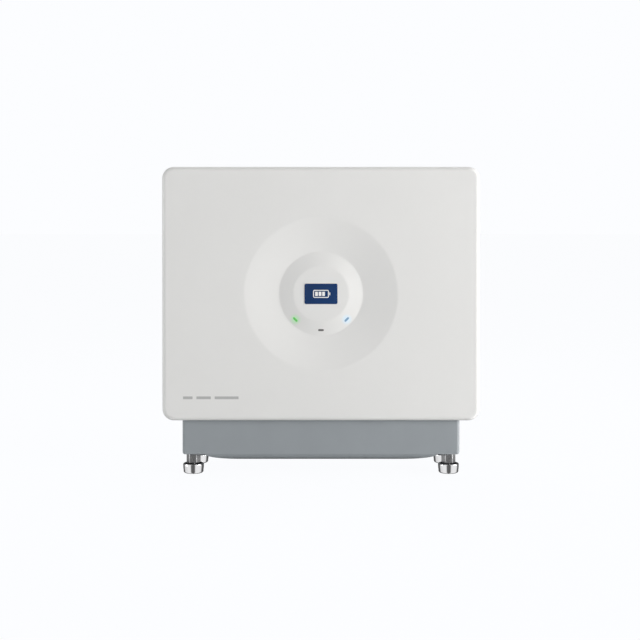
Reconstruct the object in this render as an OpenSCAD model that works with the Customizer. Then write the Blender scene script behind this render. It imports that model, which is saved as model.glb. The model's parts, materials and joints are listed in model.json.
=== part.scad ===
// Floor-standing home battery cabinet.
// +X is to the right, -Y is the front, +Z is up.
// The origin is on the floor, under the middle of the cabinet.

/* [Cover] */
// Width of the front cover
cover_w = 606; // [600:1:620]
// Height of the front cover
cover_h = 484; // [480:1:500]
// Depth of the front cover, from its face to its open edge
cover_d = 46; // [40:1:50]
// Thickness of the cover's walls
cover_wall = 3; // [2.5:0.5:3]
// Radius of the cover's four corners
cover_corner_r = 22; // [18:1:28]
// Rounding of the edge around the cover's face
cover_edge_r = 8; // [4:1:9]
// Height of the cover's lower edge above the floor
cover_z = 106.5; // [106:0.5:108]

/* [Dish and hub] */
// Outer radius of the round dish in the cover
dish_r = 145; // [130:1:150]
// Depth of the dish
dish_depth = 9; // [8:0.5:9]
// Radius of the hub where it rises from the dish
hub_base_r = 81; // [80:0.5:82]
// Radius of the hub's flat top
hub_top_r = 53; // [50:1:56]
// Radius of the soft bend at the dish's outer edge
dish_bend_r = 90; // [40:5:120]
// Radius on which the three indicator lights sit
light_r = 69.5; // [68:0.5:71]
// Length of an indicator light
light_len = 11; // [9:0.5:12]
// Width of an indicator light
light_w = 4; // [3:0.5:5]
// Width of the emblem plate
emblem_w = 63; // [50:1:66]
// Height of the emblem plate
emblem_h = 39; // [30:1:42]

/* [Housing] */
// Width of the housing and the base
housing_w = 533; // [533:1:535]
// Height of the housing
housing_h = 464; // [464:1:466]
// Thickness of the sheet metal walls
sheet = 2.5; // [2:0.5:2.5]
// Corner radius of the housing, seen from the front
housing_r = 6; // [4:1:8]
// Total depth, from the cover's face to the wall
total_d = 184; // [184:1:186]

/* [Base] */
// Height of the housing's underside above the floor
base_top = 112; // [112:0.5:113]
// Height of the base's underside above the floor, at the feet
base_bottom = 39; // [38:0.5:40]
// How far the base's belly hangs below that
belly_drop = 10.5; // [6:0.5:11]
// Half length of the flat stretch of the belly
belly_flat = 141; // [120:1:160]
// Half length of the whole belly
belly_end = 222; // [210:1:224]

/* [Feet] */
// Distance of each foot from the middle, sideways
foot_x = 247; // [245:0.5:247]
// Distance of the front feet in front of the middle
foot_front = 50; // [48:1:52]
// Distance of the rear feet behind the middle
foot_back = 54; // [50:1:54]
// Radius of a foot's disc
foot_r = 20; // [16:1:20]
// Height of a foot's disc
foot_h = 18.5; // [15:0.5:20]
// Radius of the collar above the disc
collar_r = 13; // [11:0.5:14]
// Radius of the foot's threaded stud
stud_r = 6; // [5:0.5:6]

/* [Cells] */
// Number of cells in a row
cells_per_row = 16; // [12:2:16]
// Thickness of one cell
cell_t = 26.8; // [24:0.1:27]
// Height of one cell
cell_h = 148; // [140:1:148]
// Depth of one cell
cell_d = 94; // [80:1:94]

/* [Connections] */
// Radius of the two power sockets' bores
socket_r = 4; // [3:0.5:5]
// Radius of the earth stud
earth_r = 3; // [2.5:0.5:4]
// Spacing of the two wall brackets
bracket_pitch = 300; // [200:10:360]

/* [Hidden] */
$fn = 48;
run = 0.05;    // radial clearance of a running fit
gap = 0.2;     // clearance between parts that only lie side by side
hair = 0.01;   // how far a cutter runs past the face it cuts

face_y = -total_d / 2;
wall_y = total_d / 2;
cover_mid = cover_z + cover_h / 2;
cover_in_y = face_y + cover_wall;
dish_y = face_y + dish_depth;
hub_y = face_y + 3.5;
hub_skin = 2.5;
cap_y = hub_y + 2.5;
dish_angle = atan(dish_depth / (dish_r - hub_base_r));
dish_bend = dish_bend_r * tan(dish_angle / 2);
dish_edge_r = dish_r + dish_bend;
light_angles = [225, 270, 315];
light_back = face_y + 15.5;
emblem_corner_r = 3;

lid_t = 3;
gasket_t = 3;
lid_y = face_y + 22;
gasket_y = lid_y + lid_t;
tub_y = gasket_y + gasket_t;
tub_back = wall_y - 8;
housing_z = base_top;
housing_top = housing_z + housing_h;
side_x = housing_w / 2;
flange_w = 14;
flange_t = 3;

pod_r = 80;
pod_h = 6;
pod_y = lid_y - pod_h;

snap_x = 235;
snap_rise = 188;
snap_pin_r = 3;
snap_h = 8;
screw_inset = 7;
lid_screws_across = 6;
lid_screws_up = 3;

skirt_front = lid_y - 2;
skirt_back = skirt_front + 148;
skirt_r = 6;
notch_half = side_x + 2.5;
rail_t = 5;
rail_z = base_bottom + sheet;
rail_half = 16.5;
insert_top = 62;
stud_top = 80;
collar_z = foot_h + 0.3;
collar_h = rail_z - 0.3 - collar_z;
bolt_r = 4;

cell_pitch = cell_t + 0.6;
cell_y = -14;
row_half = cells_per_row * cell_pitch / 2;
plate_t = 10;
strap_t = 1.5;
row_low = housing_z + sheet + strap_t;
row_high = row_low + cell_h + 10;
rows = [row_low, row_high];
term_z = 50;
term_r = 6;
term_h = 4;
bar_t = 2;
bar_y = cell_y - term_h - bar_t;
tray_z = 430;
tray_front = -30;
top_z = tray_z + sheet;
board_y = tray_front - 7.6;
cable_r = 4.5;
wire_r = 1.5;

inner_x = side_x - sheet;
switch_z = 530;
switch_y = 20;
switch_half = 25;
switch_x = 212;
button_z = 486;
handle_z = 446;
handle_out = 30;
handle_ys = [-38, 62];
plus_z = 385;
minus_z = 345;
socket_y = 10;
com_z = 300;
earth_z = 255;
vent_z = 212;
knob_x = side_x + 3.6;

white = [0.90, 0.90, 0.885];
grey = [0.50, 0.525, 0.545];
steel = [0.78, 0.79, 0.80];

// ---------- shared shapes ----------

// A rectangle with round corners, centred, flat.
module round_rect(w, h, r) {
    square([w - 2 * r, h], center = true);
    square([w, h - 2 * r], center = true);
    for (x = [-1, 1], y = [-1, 1])
        translate([x * (w / 2 - r), y * (h / 2 - r)]) circle(r);
}

// Stands a flat outline (x, z) up, with its depth running from y0 to y1.
module upright(y0, y1) {
    translate([0, y1, 0]) rotate([90, 0, 0]) linear_extrude(y1 - y0) children();
}

// A round bar along X, Y or Z from a point.
module bar_x(r, len) { rotate([0, 90, 0]) cylinder(r = r, h = len); }
module bar_y_dir(r, len) { rotate([-90, 0, 0]) cylinder(r = r, h = len); }

// A box given by its lowest and highest corners.
module block(a, b) { translate(a) cube(b - a); }

// A flat outline (radius, y) turned about the hub's axis.
module turned() {
    translate([0, 0, cover_mid]) rotate([-90, 0, 0]) rotate_extrude($fn = 96) children();
}

// A socket-head screw whose head rests on the XY plane and whose shank points down.
module screw(r, head_r, head_h, len) {
    difference() {
        cylinder(r = head_r, h = head_h);
        translate([0, 0, head_h * 0.4]) cylinder(r = head_r * 0.5, h = head_h, $fn = 6);
    }
    translate([0, 0, -len]) cylinder(r = r, h = len + hair);
}

// A cable through a list of points.
module cable(points, r) {
    for (i = [0 : len(points) - 2]) {
        v = points[i + 1] - points[i];
        long = norm(v);
        translate(points[i])
            rotate([0, acos(v[2] / long), atan2(v[1], v[0])]) cylinder(r = r, h = long, $fn = 24);
    }
    for (i = [1 : len(points) - 2]) translate(points[i]) sphere(r + run, $fn = 24);
}

// ---------- front cover and hub ----------

// A slab with round corners whose front edge is rounded, from y0 back to y1.
module soft_slab(w, h, corner, edge, y0, y1) {
    translate([0, 0, cover_mid]) hull()
        for (x = [-1, 1], z = [-1, 1])
            translate([x * (w / 2 - corner), 0, z * (h / 2 - corner)])
                rotate([-90, 0, 0]) rotate_extrude($fn = 32) {
                    translate([0, y0 + edge]) square([corner, y1 - y0 - edge]);
                    translate([0, y0]) square([corner - edge, edge]);
                    intersection() {
                        translate([corner - edge, y0 + edge]) circle(edge, $fn = 32);
                        translate([corner - edge, y0]) square([edge, edge]);
                    }
                }
}

// The soft bend between the cover's face and the dish, as points of its section.
dish_bend_points = [
    for (i = [6 : -1 : 0])
        let (a = dish_angle * i / 6)
            [dish_edge_r - dish_bend_r * sin(a), face_y + dish_bend_r * (1 - cos(a))]
];

// The six places where the cover snaps onto the housing.
module at_snaps() {
    for (x = [-1, 1], z = [-1, 0, 1]) translate([x * snap_x, 0, cover_mid + z * snap_rise]) children();
}

// The dish's wall: its front follows the slope and the bend, its back runs parallel.
module dish_wall() turned() polygon(concat(
    [[hub_base_r, dish_y]],
    dish_bend_points,
    [
        [dish_edge_r + 4, face_y], [dish_edge_r + 4, cover_in_y],
        [dish_r, cover_in_y], [hub_base_r, dish_y + cover_wall]
    ]
));

module cover_ribs()
    for (x = [-1, 1], z = [-0.5, 0.5])
        translate([x * 225 - 60, cover_in_y - hair, cover_mid + z * snap_rise - 1])
            cube([120, 6, 2]);

module front_cover() color(white) difference() {
    union() {
        difference() {
            soft_slab(cover_w, cover_h, cover_corner_r, cover_edge_r, face_y, face_y + cover_d);
            soft_slab(cover_w - 2 * cover_wall, cover_h - 2 * cover_wall, cover_corner_r - cover_wall,
                      cover_edge_r - cover_wall, cover_in_y, face_y + cover_d + 1);
            turned() translate([0, face_y - 1]) square([dish_edge_r, cover_wall + 2]);
        }
        dish_wall();
        at_snaps() translate([0, cover_in_y - hair, 0]) bar_y_dir(6, lid_y - snap_h - 0.3 - cover_in_y);
        cover_ribs();
    }
    at_snaps() translate([0, face_y + 7, 0]) bar_y_dir(snap_pin_r, 30);
    block([-notch_half, skirt_front - 2, cover_z - 1], [notch_half, face_y + cover_d + 1, cover_z + 5]);
}

// Where one indicator light sits: the outline turned to follow the hub's rim.
module at_light(a) {
    translate([light_r * cos(a), 0, cover_mid + light_r * sin(a)])
        rotate([0, 90 - a, 0]) children();
}

// One light guide's straight prism, before it is trimmed to the hub's slope.
module light_prism(a, grow, y0, y1) {
    at_light(a) rotate([90, 0, 0]) translate([0, 0, -y1]) linear_extrude(y1 - y0) {
        square([light_len - light_w, light_w + 2 * grow], center = true);
        for (s = [-1, 1]) translate([s * (light_len - light_w) / 2, 0]) circle(light_w / 2 + grow);
    }
}

module hub_ring() color(white) difference() {
    turned() polygon([
        [hub_top_r, hub_y], [hub_base_r - gap, dish_y], [hub_base_r - gap, dish_y + cover_wall],
        [hub_base_r + 5, dish_y + cover_wall], [hub_base_r + 5, dish_y + cover_wall + 2],
        [hub_base_r - 7, dish_y + cover_wall + 2], [hub_top_r - 1, cap_y + hub_skin],
        [hub_top_r - 5, cap_y + hub_skin], [hub_top_r - 5, cap_y], [hub_top_r, cap_y]
    ]);
    for (a = light_angles) light_prism(a, run, hub_y, light_back);
}

module hub_cap() color(white) difference() {
    turned() translate([0, hub_y]) square([hub_top_r - 0.15, cap_y - hub_y]);
    upright(hub_y - 1, hub_y + 0.4) translate([0, cover_mid])
        round_rect(emblem_w + 0.1, emblem_h + 0.1, emblem_corner_r);
}

module emblem_plate() color([0.07, 0.16, 0.34])
    upright(hub_y - 0.8, hub_y + 0.4) translate([0, cover_mid]) round_rect(emblem_w, emblem_h, emblem_corner_r);

module light_guide(a) intersection() {
    light_prism(a, 0, hub_y, light_back);
    turned() polygon([
        [0, hub_y], [hub_top_r, hub_y], [hub_base_r - gap, dish_y],
        [hub_base_r - gap, light_back], [0, light_back]
    ]);
}

module light_guide_left() color([0.35, 0.85, 0.35]) light_guide(light_angles[0]);
module light_guide_bottom() color([0.35, 0.34, 0.33]) light_guide(light_angles[1]);
module light_guide_right() color([0.35, 0.62, 0.90]) light_guide(light_angles[2]);

module cover_studs() color(steel)
    at_snaps() translate([0, face_y + 7, 0]) bar_y_dir(snap_pin_r, lid_y - 1 - face_y - 7);

// ---------- housing ----------

module housing_outline(inset) {
    translate([0, housing_z + housing_h / 2])
        round_rect(housing_w - 2 * inset, housing_h - 2 * inset, housing_r);
}

// The lid screws' places, along the flange.
module at_lid_screws() {
    half_w = side_x - screw_inset;
    half_h = housing_h / 2 - screw_inset;
    step_w = 2 * half_w / (lid_screws_across - 1);
    step_h = 2 * half_h / (lid_screws_up + 1);
    for (i = [0 : lid_screws_across - 1], s = [-1, 1])
        translate([-half_w + i * step_w, 0, housing_z + housing_h / 2 + s * half_h]) children();
    for (j = [1 : lid_screws_up], s = [-1, 1])
        translate([s * half_w, 0, housing_z + screw_inset + j * step_h]) children();
}

// Everything that passes through the right-hand side wall, as one cutter.
module side_cutouts() translate([inner_x - 2, 0, 0]) {
    translate([0, switch_y, switch_z]) bar_x(10, 10);
    translate([0, switch_y, button_z]) bar_x(8.1, 10);
    for (z = [plus_z, minus_z]) translate([0, socket_y, z]) bar_x(8.1, 10);
    block([0, socket_y - 17.1, com_z - 8.1], [10, socket_y + 17.1, com_z + 8.1]);
    translate([0, socket_y, earth_z]) bar_x(earth_r + gap, 10);
    translate([0, socket_y, vent_z]) bar_x(6.1, 10);
}

// The housing's closed back, sides, top and floor, with an inward flange at the open front.
module housing_tub() {
    difference() {
        upright(tub_y, tub_back) housing_outline(0);
        upright(tub_y - 1, tub_back - sheet) housing_outline(sheet);
    }
    difference() {
        upright(tub_y, tub_y + flange_t) housing_outline(sheet / 2);
        upright(tub_y - 1, tub_y + flange_t + 1) housing_outline(flange_w);
    }
    at_lid_screws() translate([0, tub_y + hair, 0]) bar_y_dir(4, 10);
    for (z = [0.25, 0.5, 0.75])
        block([-190, tub_back - hair, housing_z + z * housing_h - 9],
              [190, tub_back + 2, housing_z + z * housing_h + 9]);
}

module housing_shell() color(grey) difference() {
    housing_tub();
    at_lid_screws() translate([0, tub_y - 1, 0]) bar_y_dir(2 + gap, 8.5);
    side_cutouts();
    at_brackets() translate([0, 66, housing_top - 5]) cylinder(r = 3 + gap, h = 10);
    at_base_bolts() translate([0, 0, housing_z - 1]) cylinder(r = bolt_r + gap, h = sheet + 2);
    at_handle_screws() translate([-7, 0, 0]) bar_x(2 + gap, 12);
}

module housing_lid() color([0.56, 0.58, 0.60]) difference() {
    upright(lid_y, gasket_y) housing_outline(0);
    at_lid_screws() translate([0, lid_y - 1, 0]) bar_y_dir(2 + gap, 5);
    translate([0, lid_y - 1, cover_mid]) bar_y_dir(6, 5);
}

module lid_gasket() color([0.10, 0.10, 0.11]) difference() {
    upright(gasket_y, tub_y) difference() {
        housing_outline(0.5);
        housing_outline(flange_w - 1);
    }
    at_lid_screws() translate([0, gasket_y - 1, 0]) bar_y_dir(2 + gap, 5);
}

module lid_screws() color(steel)
    at_lid_screws() translate([0, lid_y, 0]) rotate([90, 0, 0]) screw(2, 3.6, 2.6, 12);

module clip_sockets() color([0.15, 0.15, 0.16])
    at_snaps() translate([0, lid_y - snap_h, 0]) difference() {
        union() {
            bar_y_dir(6, snap_h);
            translate([0, snap_h - 2, 0]) bar_y_dir(9, 2);
        }
        translate([0, -1, 0]) bar_y_dir(snap_pin_r + run, snap_h);
    }

module display_pod() color([0.16, 0.17, 0.18]) difference() {
    turned() polygon([
        [0, pod_y], [pod_r, pod_y], [pod_r, lid_y],
        [pod_r - 2.5, lid_y], [pod_r - 2.5, pod_y + 2], [0, pod_y + 2]
    ]);
    for (a = light_angles) light_prism(a, 0.3, pod_y - 1, pod_y + 3);
}

module display_windows() color([0.85, 0.90, 0.92])
    for (a = light_angles) light_prism(a, 0.2, pod_y, pod_y + 2);

module led_board() color([0.05, 0.30, 0.16]) {
    turned() translate([0, lid_y - 1.8]) square([pod_r - 5, 1.6]);
    for (a = light_angles) at_light(a) translate([-2.5, lid_y - 3.4, -2.5]) cube([5, 1.7, 5]);
}

// ---------- base and feet ----------

// The base's outline from the front: its lower edge dips into a belly with elliptical ends.
module base_front_outline(inset, top) {
    steps = 16;
    half = side_x - inset;
    floor_z = base_bottom + inset;
    round_r = 5;
    reach = belly_end - belly_flat;
    curve = [for (i = [0 : steps]) let (a = 90 * i / steps)
        [belly_flat + (reach - inset) * sin(a), floor_z - belly_drop * cos(a)]];
    translate([0, floor_z + round_r]) translate([-half, 0]) square([2 * half, top - floor_z - round_r]);
    for (s = [-1, 1]) translate([s * (half - round_r), floor_z + round_r]) circle(round_r);
    polygon(concat(
        [[-half + round_r, floor_z + round_r], [-half + round_r, floor_z]],
        [for (i = [steps : -1 : 0]) [-curve[i][0], curve[i][1]]],
        curve,
        [[half - round_r, floor_z], [half - round_r, floor_z + round_r]]
    ));
}

// The base's outline from the side: the lower edges roll under.
module base_side_outline(inset, top) {
    roll = 10;
    low = base_bottom - belly_drop;
    difference() {
        translate([skirt_front + inset, low - 1])
            square([skirt_back - skirt_front - 2 * inset, top - low + 1]);
        for (y = [skirt_front + inset, skirt_back - inset - roll]) translate([y, low + inset - 2])
            square([roll, roll + 2]);
    }
    for (y = [skirt_front + inset + roll, skirt_back - inset - roll]) translate([y, low + inset + roll])
        circle(roll);
}

module base_block(inset, top) intersection() {
    upright(skirt_front - 1, skirt_back + 1) base_front_outline(inset, top);
    translate([-side_x, 0, 0]) rotate([90, 0, 90]) linear_extrude(2 * side_x) base_side_outline(inset, top);
    translate([0, (skirt_front + skirt_back) / 2, 0]) linear_extrude(top)
        round_rect(housing_w - 2 * inset, skirt_back - skirt_front - 2 * inset, skirt_r);
}

module at_feet() {
    for (x = [-foot_x, foot_x], y = [-foot_front, foot_back]) translate([x, y, 0]) children();
}

// Places along the two rails, between the feet.
module at_base_screws() {
    for (x = [-foot_x, foot_x], y = [-14, 18]) translate([x, y, 0]) children();
}
module at_base_bolts() {
    for (x = [-foot_x, foot_x], y = [-25, 29]) translate([x, y, 0]) children();
}

module base_skirt() color(grey) difference() {
    base_block(0, base_top);
    base_block(sheet, base_top + 1);
    at_feet() translate([0, 0, base_bottom - 20]) cylinder(r = collar_r + 1.5, h = 30);
    at_base_screws() translate([0, 0, base_bottom - 10]) cylinder(r = 2.5 + gap, h = 20);
}

// Two box sections from front to back that carry the housing, chamfered to clear the skirt's corners.
module base_rails() color(steel) difference() {
    for (x = [-foot_x, foot_x])
        block([x - rail_half, skirt_front + 8, rail_z], [x + rail_half, skirt_back - 8, base_top]);
    for (x = [-foot_x, foot_x])
        block([x - rail_half + rail_t, skirt_front + 7, rail_z + rail_t],
              [x + rail_half - rail_t, skirt_back - 7, base_top - rail_t]);
    for (s = [-1, 1]) translate([s * (foot_x + rail_half), 0, rail_z]) rotate([0, 45, 0])
        cube([7, 400, 7], center = true);
    at_feet() translate([0, 0, rail_z - 1]) cylinder(r = 9 + run, h = rail_t + 2);
    at_base_screws() translate([0, 0, rail_z - 1]) cylinder(r = 2.5 + run, h = rail_t + 2);
    at_base_bolts() translate([0, 0, base_top - rail_t - 1]) cylinder(r = bolt_r + gap, h = rail_t + 2);
}

module foot_inserts() color([0.72, 0.66, 0.45]) at_feet() difference() {
    union() {
        translate([0, 0, rail_z]) cylinder(r = 9, h = insert_top - rail_z);
        translate([0, 0, rail_z + rail_t]) cylinder(r = 11, h = 2.5);
    }
    translate([0, 0, rail_z - 1]) cylinder(r = stud_r + run, h = insert_top - rail_z + 2);
}

// Screws from below hold the skirt on the rails.
module base_screws() color(steel)
    at_base_screws() translate([0, 0, base_bottom]) rotate([180, 0, 0]) screw(2.5, 4.5, 3, 8);

// Bolts from inside the housing hold it on the rails, each with its nut.
module base_bolts() color(steel) at_base_bolts() {
    translate([0, 0, housing_z + sheet]) screw(bolt_r, 6.5, 5, 18);
    translate([0, 0, base_top - rail_t - 6.5]) difference() {
        cylinder(r = 7.5, h = 6.5, $fn = 6);
        translate([0, 0, -1]) cylinder(r = bolt_r + hair, h = 9);
    }
}

// A foot's disc: round edges, a dished top and a blind hole for the stud's pivot.
module foot_pad(x, y) color(steel) translate([x, y, 0]) rotate_extrude($fn = 72) difference() {
    union() {
        square([foot_r - 2, foot_h]);
        translate([0, 2]) square([foot_r, foot_h - 4]);
        translate([foot_r - 2, 2]) circle(2);
        translate([foot_r - 2, foot_h - 2]) circle(2);
    }
    translate([-1, foot_h - 8]) square([1 + 5 + run, 9]);
}

// The turning half of a foot: pivot, collar with two spanner flats, and threaded stud.
module foot_stud(x, y) color(steel) translate([x, y, 0]) {
    translate([0, 0, foot_h - 7]) cylinder(r = 5, h = collar_z - foot_h + 7 + hair);
    difference() {
        translate([0, 0, collar_z]) cylinder(r1 = collar_r + 1, r2 = collar_r, h = collar_h);
        for (a = [0, 180]) rotate([0, 0, a])
            translate([-20, collar_r - 1.2, collar_z + 5]) cube([40, 10, 8]);
    }
    translate([0, 0, collar_z + collar_h - hair])
        cylinder(r = stud_r, h = stud_top - collar_z - collar_h - 1);
    translate([0, 0, stud_top - 1 - 2 * hair]) cylinder(r1 = stud_r, r2 = stud_r - 1, h = 1);
}

module foot_pad_front_left() foot_pad(-foot_x, -foot_front);
module foot_pad_front_right() foot_pad(foot_x, -foot_front);
module foot_pad_rear_left() foot_pad(-foot_x, foot_back);
module foot_pad_rear_right() foot_pad(foot_x, foot_back);
module foot_stud_front_left() foot_stud(-foot_x, -foot_front);
module foot_stud_front_right() foot_stud(foot_x, -foot_front);
module foot_stud_rear_left() foot_stud(-foot_x, foot_back);
module foot_stud_rear_right() foot_stud(foot_x, foot_back);

// ---------- wall fixing and handles ----------

module at_brackets() {
    for (s = [-1, 1]) translate([s * bracket_pitch / 2, 0, 0]) children();
}

// Angles over the housing's rear edge, each with a slot for a wall screw.
module wall_brackets() color(steel) at_brackets() difference() {
    union() {
        block([-40, 50, housing_top], [40, wall_y, housing_top + 3]);
        block([-40, wall_y - 3, housing_top - 56], [40, wall_y, housing_top + 3]);
        for (x = [-40, 37]) translate([x, 0, 0]) rotate([90, 0, 90]) linear_extrude(3)
            polygon([
                [wall_y - 2, housing_top + 2], [wall_y - 2, housing_top - 40],
                [wall_y - 6, housing_top - 40], [wall_y - 6, housing_top + 2]
            ]);
    }
    translate([0, 66, housing_top - 1]) cylinder(r = 3 + gap, h = 6);
    for (x = [-3.5, 3.5]) translate([x, wall_y - 10, housing_top - 36]) bar_y_dir(3.5, 20);
    block([-3.5, wall_y - 10, housing_top - 39.5], [3.5, wall_y + 10, housing_top - 32.5]);
}

module bracket_screws() color(steel)
    at_brackets() translate([0, 66, housing_top + 3]) screw(3, 5, 4, 10);

module wall_buffers() color([0.10, 0.10, 0.11])
    for (s = [-1, 1]) translate([s * 200, tub_back, housing_z + 40]) {
        bar_y_dir(15, 6);
        translate([0, 6 - hair, 0]) bar_y_dir(12, wall_y - tub_back - 6 + hair);
    }

// A grip bar on two posts, drawn for the right-hand side.
module carry_handle() {
    for (y = handle_ys) {
        block([side_x, y - 15, handle_z - 12], [side_x + 3, y + 15, handle_z + 12]);
        block([side_x, y - 7, handle_z - 8], [side_x + handle_out - 1, y + 7, handle_z + 8]);
    }
    block([side_x + handle_out - 8, handle_ys[0] - 7, handle_z - 8],
          [side_x + handle_out, handle_ys[1] + 7, handle_z + 8]);
}
module carry_handles() color([0.13, 0.13, 0.14]) difference() {
    for (a = [0, 1]) mirror([a, 0, 0]) carry_handle();
    at_handle_screws() translate([-5, 0, 0]) bar_x(2 + gap, 10);
}

// Where the handles' screws pass through the housing's side walls.
module at_handle_screws() {
    for (a = [0, 1], y = handle_ys, t = [-1, 1])
        mirror([a, 0, 0]) translate([side_x + 3, y + t * 11, handle_z]) children();
}
module handle_screws() color(steel)
    at_handle_screws() rotate([0, 90, 0]) screw(2, 3.4, 2.4, 9);

// ---------- cell stack ----------

first_x = -(cells_per_row - 1) / 2 * cell_pitch;

module at_cells() {
    for (i = [0 : cells_per_row - 1]) translate([first_x + i * cell_pitch, 0, 0]) children();
}

module cell_row(z) color([0.20, 0.36, 0.62]) at_cells() translate([0, 0, z]) {
    block([-cell_t / 2, cell_y, 0], [cell_t / 2, cell_y + cell_d, cell_h]);
    for (s = [-1, 1])
        translate([0, cell_y - term_h, cell_h / 2 + s * term_z]) bar_y_dir(term_r, term_h + hair);
    translate([0, cell_y - 0.6, cell_h / 2]) bar_y_dir(6, 0.6 + hair);
}

module cells_lower() cell_row(row_low);
module cells_upper() cell_row(row_high);

module end_plates() color([0.70, 0.71, 0.72])
    for (z = rows, s = [-1, 1]) {
        x0 = s > 0 ? row_half + gap : -row_half - gap - plate_t;
        block([x0, cell_y, z], [x0 + plate_t, cell_y + cell_d, z + cell_h]);
    }

module tie_straps() color(steel)
    for (z = rows, y = [6, 50]) difference() {
        half = row_half + gap + plate_t;
        block([-half - strap_t, y, z - strap_t], [half + strap_t, y + 18, z + cell_h + strap_t]);
        block([-half, y - 1, z], [half, y + 19, z + cell_h]);
    }

// A shelf under the upper row, bent down at both ends against the housing's sides.
module module_shelf() color(grey) {
    top = row_high - strap_t;
    block([-inner_x, cell_y, top - 4], [inner_x, cell_y + cell_d, top]);
    for (x = [-inner_x, inner_x - sheet])
        block([x, cell_y + 36, top - 22], [x + sheet, cell_y + cell_d, top - 3]);
}

module busbar_frames() color([0.16, 0.16, 0.17])
    for (z = rows) {
        difference() {
            block([-row_half, cell_y - 3.8, z + 2], [row_half, cell_y - 0.2, z + cell_h - 2]);
            at_cells() for (s = [-1, 1]) translate([0, cell_y - 5, z + cell_h / 2 + s * term_z])
                bar_y_dir(term_r + 1.5, 6);
            at_cells() translate([0, cell_y - 5, z + cell_h / 2]) bar_y_dir(7, 6);
        }
        for (x = [-175, 175], s = [-1, 1])
            translate([x + cell_pitch / 2, cell_y - 14.2, z + cell_h / 2 + s * 16]) bar_y_dir(2.5, 10.5);
    }

// A flat bar over terminals dx and dz apart.
module busbar(x, z, dx, dz) block([x - 7.5, bar_y, z - 7.5], [x + dx + 7.5, bar_y + bar_t, z + dz + 7.5]);

low_end = row_low + cell_h / 2 + term_z;
high_end = row_high + cell_h / 2 - term_z;

// Links between neighbouring cells, the link between the rows and the two end lugs.
module busbars() color([0.80, 0.47, 0.30]) {
    for (r = [0, 1], i = [0 : cells_per_row - 2]) {
        side = (i % 2 == 0 ? -1 : 1) * (r == 0 ? 1 : -1);
        busbar(first_x + i * cell_pitch, rows[r] + cell_h / 2 + side * term_z, cell_pitch, 0);
    }
    busbar(-first_x, low_end, 0, high_end - low_end);
    busbar(first_x, low_end, 0, 0);
    busbar(first_x, high_end, 0, 0);
}

// A monitoring board before each row, with its chips and a plug.
module cell_boards() color([0.05, 0.30, 0.16])
    for (z = rows) translate([0, cell_y - 15.8, z + cell_h / 2]) {
        block([-185, 0, -22], [200, 1.6, 22]);
        for (i = [0 : 3]) block([-150 + i * 90, -2.5, -8], [-136 + i * 90, hair, 6]);
        block([-30, -9, 12], [10, hair, 20]);
    }

// ---------- battery management ----------

// A tray over the cells, with a slot for the cables and two posts for the board.
module bms_tray() color(grey) {
    difference() {
        block([-inner_x, tray_front, tray_z], [inner_x, tub_back - sheet - 1, top_z]);
        block([233, 3, tray_z - 1], [252, 43, top_z + 1]);
    }
    for (x = [-inner_x, inner_x - sheet])
        block([x, tray_front, tray_z - 18], [x + sheet, 75, tray_z + hair]);
    for (s = [-1, 1]) {
        block([s * 126 - 3, tray_front, top_z - hair], [s * 126 + 3, tray_front + 2, 562]);
        for (z = [448, 552]) translate([s * 126, tray_front - 6, z]) bar_y_dir(2.5, 6 + hair);
    }
}

module bms_board() color([0.05, 0.30, 0.16]) {
    block([-134, board_y, 440], [134, board_y + 1.6, 560]);
    for (i = [0 : 5]) block([-120 + i * 42, board_y - 12, 444], [-98 + i * 42, board_y + hair, 454]);
    for (i = [0 : 2]) block([-90 + i * 70, board_y - 3, 480], [-64 + i * 70, board_y + hair, 506]);
    for (i = [0 : 3]) translate([-100 + i * 22, board_y - 16, 536]) bar_y_dir(7, 16 + hair);
    block([20, board_y - 14, 522], [110, board_y + hair, 552]);
}

// Two relays with their terminals on top.
module contactors() color([0.12, 0.12, 0.13]) for (x = [-167, -107]) translate([x, 20, top_z]) {
    block([-23, -30, 0], [23, 30, 50]);
    block([-19, -26, 49], [19, 26, 57]);
    for (y = [-15, 15]) translate([0, y, 56]) cylinder(r = 5, h = 5);
    block([-2, -8, 56], [2, 8, 63]);
}

module precharge_resistor() color([0.75, 0.60, 0.25]) {
    block([-70, 0, top_z], [-16, 16, top_z + 4]);
    block([-62, 1, top_z + 3], [-24, 15, top_z + 16]);
    for (x = [-64, -27]) translate([x, 8, top_z + 9]) bar_x(1.5, 6);
}

module main_fuse() color([0.90, 0.88, 0.82]) {
    block([15, 46, top_z], [110, 74, top_z + 8]);
    for (x = [20, 92]) block([x, 54, top_z + 7], [x + 13, 66, top_z + 30]);
    translate([32, 60, top_z + 21]) bar_x(12, 61);
}

module current_shunt() color([0.80, 0.47, 0.30]) {
    block([128, 24, top_z], [150, 46, top_z + 8]);
    block([170, 24, top_z], [192, 46, top_z + 8]);
    for (y = [28, 37]) block([149, y, top_z + 2], [171, y + 4, top_z + 6]);
}

term_top = top_z + 61;
fuse_top = top_z + 30;
switch_low = switch_z - switch_half;

// Cells to contactor, contactor to fuse, fuse to switch, switch to socket.
module cable_positive() color([0.80, 0.25, 0.10]) {
    cable([
        [first_x, bar_y, high_end], [first_x, -40, high_end], [first_x, -40, 506],
        [-167, -40, 506], [-167, 5, 506], [-167, 5, term_top]
    ], cable_r);
    cable([
        [-167, 35, term_top], [-167, 35, 508], [-167, 60, 508],
        [26, 60, 508], [26, 60, fuse_top]
    ], cable_r);
    cable([
        [99, 60, fuse_top], [99, 60, 545], [200, 60, 545],
        [200, 20, 545], [switch_x, 20, 545]
    ], cable_r);
    cable([[240, 10, switch_low], [240, 10, plus_z], [248, 10, plus_z]], cable_r);
}

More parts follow.
